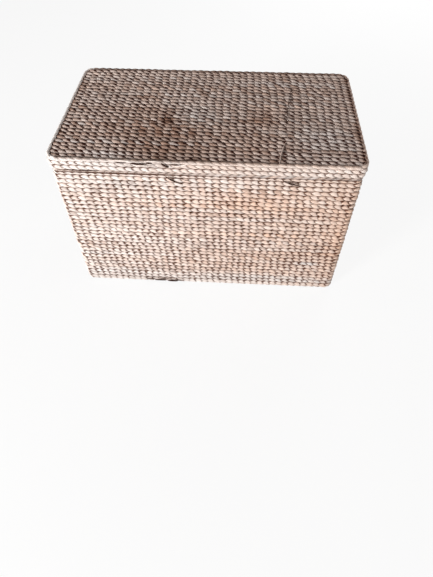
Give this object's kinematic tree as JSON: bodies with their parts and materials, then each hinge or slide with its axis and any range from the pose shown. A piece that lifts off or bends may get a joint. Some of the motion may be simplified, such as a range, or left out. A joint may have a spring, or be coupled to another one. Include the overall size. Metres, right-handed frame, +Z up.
{
  "type": "woven lidded box",
  "caption": "Rectangular woven storage chest with a flat lid hinged at the back, twined from pale plant stems over a thin rod frame, with bound edges and a weathered brown top.",
  "frame": {"origin": "middle of the footprint, on the floor", "axes": "+X to the right along the length, +Y from the front to the hinged back, +Z up"},
  "size_m": [0.8, 0.45, 0.48],
  "materials": {
    "pale_stem": "matte",
    "weathered_stem": "matte",
    "binding": "matte",
    "frame_steel": "satin",
    "ring_wire": "satin"
  },
  "bodies": {
    "box": {"front_weave": "pale_stem", "left_weave": "pale_stem", "back_weave": "pale_stem", "right_weave": "pale_stem", "base_weave": "pale_stem", "post_front_left": "frame_steel", "post_front_right": "frame_steel", "post_back_left": "frame_steel", "post_back_right": "frame_steel", "base_rod": "frame_steel", "base_border_front": "binding", "base_border_left": "binding", "base_border_back": "binding", "base_border_right": "binding", "base_stretcher_left": "frame_steel", "base_stretcher_middle": "frame_steel", "base_stretcher_right": "frame_steel", "rim_rod": "frame_steel", "rim_border_front": "binding", "rim_border_left": "binding", "rim_border_right": "binding", "rim_border_back_left": "binding", "rim_border_back_middle": "binding", "rim_border_back_right": "binding", "hinge_ring_left": "ring_wire", "hinge_ring_right": "ring_wire"},
    "lid": {"lid_top_weave": "weathered_stem", "lid_front_weave": "pale_stem", "lid_left_weave": "pale_stem", "lid_back_weave": "pale_stem", "lid_right_weave": "pale_stem", "lid_post_front_left": "frame_steel", "lid_post_front_right": "frame_steel", "lid_post_back_left": "frame_steel", "lid_post_back_right": "frame_steel", "lid_rod": "frame_steel", "lid_border_front": "binding", "lid_border_left": "binding", "lid_border_right": "binding", "lid_border_back_left": "binding", "lid_border_back_middle": "binding", "lid_border_back_right": "binding", "lid_top_rod_front": "frame_steel", "lid_top_rod_back": "frame_steel", "lid_top_rod_left": "frame_steel", "lid_top_rod_right": "frame_steel", "lid_stretcher_left": "frame_steel", "lid_stretcher_middle": "frame_steel", "lid_stretcher_right": "frame_steel"}
  },
  "joints": [
    {"name": "lid_hinge", "type": "hinge", "parent": "box", "child": "lid", "pos_m": [0, 0.218, 0.4384], "axis": [-1, 0, 0], "range_deg": [0, 105]}
  ]
}
